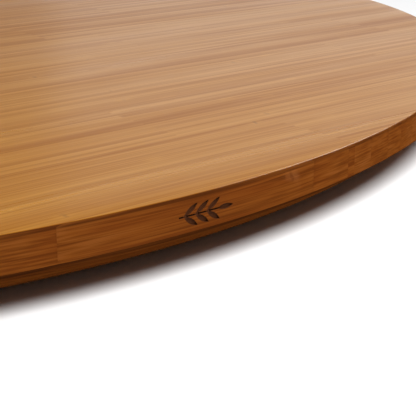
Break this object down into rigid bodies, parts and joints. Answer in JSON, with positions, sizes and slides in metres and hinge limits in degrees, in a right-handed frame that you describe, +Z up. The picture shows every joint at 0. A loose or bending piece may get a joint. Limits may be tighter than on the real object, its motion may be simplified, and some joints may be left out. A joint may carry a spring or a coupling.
{
  "type": "lazy susan turntable",
  "caption": "Large round bamboo serving board with an undercut rim that turns on a low ring ball bearing recessed in its underside, standing on rubber feet.",
  "frame": {"origin": "on the table, on the turning axis", "axes": "+Z up along the turning axis; +X along the bamboo strips; the engraved leaf sprig is on the rim at -Y"},
  "size_m": [0.7, 0.7, 0.025],
  "materials": {
    "bamboo": "caramelised vertical-grain bamboo, satin lacquer",
    "ring_aluminium": "turned and clear anodised",
    "filler_steel": "blackened steel",
    "ball_steel": "polished bearing steel",
    "cage_nylon": "natural nylon",
    "zinc_screw": "bright zinc plated",
    "foot_rubber": "soft black rubber"
  },
  "bodies": {
    "base": {"standing_ring": "ring_aluminium", "filler_plug": "filler_steel", "filler_grub_screw": "filler_steel", "foot_1": "foot_rubber", "foot_2": "foot_rubber", "foot_3": "foot_rubber", "foot_4": "foot_rubber", "foot_5": "foot_rubber", "foot_6": "foot_rubber", "foot_7": "foot_rubber", "foot_8": "foot_rubber"},
    "turntable": {"board": "bamboo", "turning_ring": "ring_aluminium", "board_screw_1": "zinc_screw", "board_screw_2": "zinc_screw", "board_screw_3": "zinc_screw", "board_screw_4": "zinc_screw", "board_screw_5": "zinc_screw", "board_screw_6": "zinc_screw", "board_screw_7": "zinc_screw", "board_screw_8": "zinc_screw"},
    "ball_ring": {"bearing_balls": "ball_steel", "ball_cage": "cage_nylon"}
  },
  "joints": [
    {"name": "board_spin", "type": "hinge", "parent": "base", "child": "turntable", "pos_m": [0, 0, 0.006], "axis": [0, 0, 1], "continuous": true},
    {"name": "cage_spin", "type": "hinge", "parent": "base", "child": "ball_ring", "pos_m": [0, 0, 0.006], "axis": [0, 0, 1], "continuous": true}
  ],
  "couplings": [
    {"joint": "cage_spin", "follows": "board_spin", "ratio": 0.49405}
  ]
}
